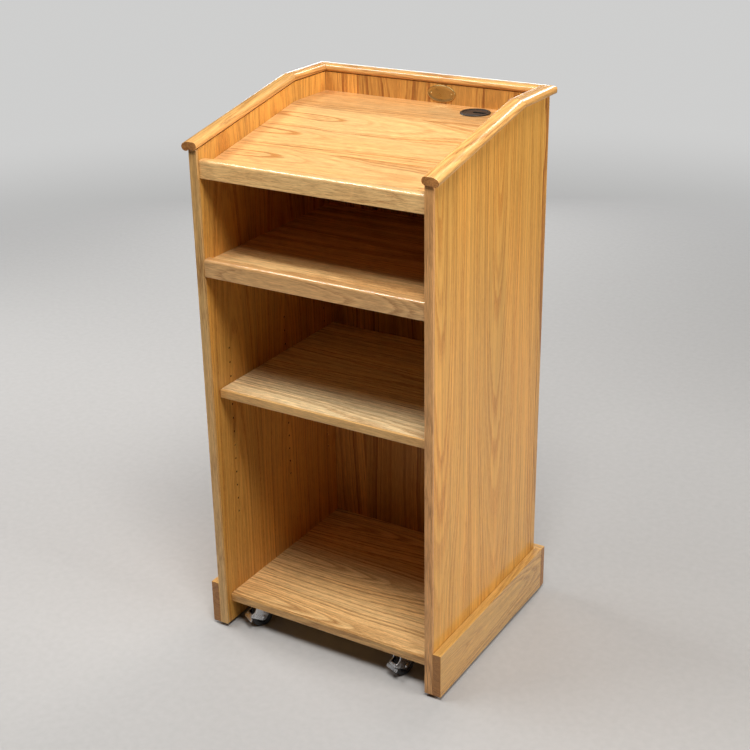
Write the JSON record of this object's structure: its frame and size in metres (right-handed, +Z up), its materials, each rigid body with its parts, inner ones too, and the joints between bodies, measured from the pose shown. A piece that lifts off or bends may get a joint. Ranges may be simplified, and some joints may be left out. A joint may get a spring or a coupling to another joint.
{
  "type": "presentation lectern",
  "caption": "Floor-standing oak lectern with a sloped reading surface, raised rim, open shelves, a cable grommet, a plinth skirt and swivel casters.",
  "frame": {"origin": "on the floor, under the middle of the lectern's bounding box", "axes": "+Z up; the speaker's open side faces -Y and the audience is towards +Y; +X is on the right of a speaker who looks at the audience"},
  "size_m": [0.5832, 0.5098, 1.183],
  "materials": {
    "oak_veneer": "satin lacquer over plain-sliced oak veneer",
    "oak_solid": "satin lacquer over solid oak",
    "aged_brass": "antiqued, worn bright on the rim",
    "black_plastic": "fine moulded grain",
    "zinc_steel": "bright zinc plate",
    "black_rubber": "matt, scuffed",
    "wheel_plastic": "moulded"
  },
  "bodies": {
    "cabinet": {"left_panel": "oak_veneer", "right_panel": "oak_veneer", "rear_panel": "oak_veneer", "reading_surface": "oak_veneer", "rear_ledge": "oak_veneer", "bottom_shelf": "oak_veneer", "upper_shelf": "oak_veneer", "left_front_band": "oak_solid", "right_front_band": "oak_solid", "bottom_shelf_band": "oak_solid", "upper_shelf_nosing": "oak_solid", "book_stop": "oak_solid", "left_skirt": "oak_solid", "right_skirt": "oak_solid", "rear_skirt": "oak_solid", "left_slope_cap": "oak_solid", "left_level_cap": "oak_solid", "rear_cap": "oak_solid", "right_level_cap": "oak_solid", "right_slope_cap": "oak_solid", "brass_plaque": "aged_brass", "grommet_liner": "black_plastic", "left_front_shelf_pin": "zinc_steel", "left_rear_shelf_pin": "zinc_steel", "right_front_shelf_pin": "zinc_steel", "right_rear_shelf_pin": "zinc_steel", "front_left_caster_plate": "zinc_steel", "front_left_caster_kingpin": "zinc_steel", "front_right_caster_plate": "zinc_steel", "front_right_caster_kingpin": "zinc_steel", "rear_left_caster_plate": "zinc_steel", "rear_left_caster_kingpin": "zinc_steel", "rear_right_caster_plate": "zinc_steel", "rear_right_caster_kingpin": "zinc_steel"},
    "adjustable_shelf_unit": {"adjustable_shelf": "oak_veneer", "adjustable_shelf_band": "oak_solid"},
    "grommet_lid": {"grommet_cap": "black_plastic"},
    "front_left_caster_swivel": {"front_left_caster_fork": "zinc_steel", "front_left_caster_axle": "zinc_steel", "front_left_caster_brake_pin": "zinc_steel"},
    "front_left_caster_wheel": {"front_left_caster_hub": "wheel_plastic", "front_left_caster_tyre": "black_rubber"},
    "front_left_caster_brake": {"front_left_caster_brake_pedal": "zinc_steel"},
    "front_right_caster_swivel": {"front_right_caster_fork": "zinc_steel", "front_right_caster_axle": "zinc_steel", "front_right_caster_brake_pin": "zinc_steel"},
    "front_right_caster_wheel": {"front_right_caster_hub": "wheel_plastic", "front_right_caster_tyre": "black_rubber"},
    "front_right_caster_brake": {"front_right_caster_brake_pedal": "zinc_steel"},
    "rear_left_caster_swivel": {"rear_left_caster_fork": "zinc_steel", "rear_left_caster_axle": "zinc_steel"},
    "rear_left_caster_wheel": {"rear_left_caster_hub": "wheel_plastic", "rear_left_caster_tyre": "black_rubber"},
    "rear_right_caster_swivel": {"rear_right_caster_fork": "zinc_steel", "rear_right_caster_axle": "zinc_steel"},
    "rear_right_caster_wheel": {"rear_right_caster_hub": "wheel_plastic", "rear_right_caster_tyre": "black_rubber"}
  },
  "joints": [
    {"name": "adjustable_shelf_slide", "type": "slide", "parent": "cabinet", "child": "adjustable_shelf_unit", "axis": [0, -1, 0], "range_m": [0, 0.17]},
    {"name": "grommet_cap_turn", "type": "hinge", "parent": "cabinet", "child": "grommet_lid", "pos_m": [0.138, 0.17037, 1.1255], "axis": [0, 0, 1], "continuous": true},
    {"name": "front_left_caster_turn", "type": "hinge", "parent": "cabinet", "child": "front_left_caster_swivel", "pos_m": [-0.1835, -0.18463, 0.05], "axis": [0, 0, 1], "continuous": true},
    {"name": "front_left_caster_roll", "type": "hinge", "parent": "front_left_caster_swivel", "child": "front_left_caster_wheel", "pos_m": [-0.1935, -0.20195, 0.025], "axis": [0.866, -0.5, 0], "continuous": true},
    {"name": "front_left_caster_brake_press", "type": "hinge", "parent": "front_left_caster_swivel", "child": "front_left_caster_brake", "pos_m": [-0.2072, -0.22567, 0.035], "axis": [0.866, -0.5, 0], "range_deg": [0, 25]},
    {"name": "front_right_caster_turn", "type": "hinge", "parent": "cabinet", "child": "front_right_caster_swivel", "pos_m": [0.1835, -0.18463, 0.05], "axis": [0, 0, 1], "continuous": true},
    {"name": "front_right_caster_roll", "type": "hinge", "parent": "front_right_caster_swivel", "child": "front_right_caster_wheel", "pos_m": [0.17666, -0.20342, 0.025], "axis": [0.9397, -0.342, 0], "continuous": true},
    {"name": "front_right_caster_brake_press", "type": "hinge", "parent": "front_right_caster_swivel", "child": "front_right_caster_brake", "pos_m": [0.16729, -0.22917, 0.035], "axis": [0.9397, -0.342, 0], "range_deg": [0, 25]},
    {"name": "rear_left_caster_turn", "type": "hinge", "parent": "cabinet", "child": "rear_left_caster_swivel", "pos_m": [-0.1835, 0.15438, 0.05], "axis": [0, 0, 1], "continuous": true},
    {"name": "rear_left_caster_roll", "type": "hinge", "parent": "rear_left_caster_swivel", "child": "rear_left_caster_wheel", "pos_m": [-0.19468, 0.13779, 0.025], "axis": [0.829, -0.5592, 0], "continuous": true},
    {"name": "rear_right_caster_turn", "type": "hinge", "parent": "cabinet", "child": "rear_right_caster_swivel", "pos_m": [0.1835, 0.15438, 0.05], "axis": [0, 0, 1], "continuous": true},
    {"name": "rear_right_caster_roll", "type": "hinge", "parent": "rear_right_caster_swivel", "child": "rear_right_caster_wheel", "pos_m": [0.17536, 0.1361, 0.025], "axis": [0.9135, -0.4067, 0], "continuous": true}
  ]
}
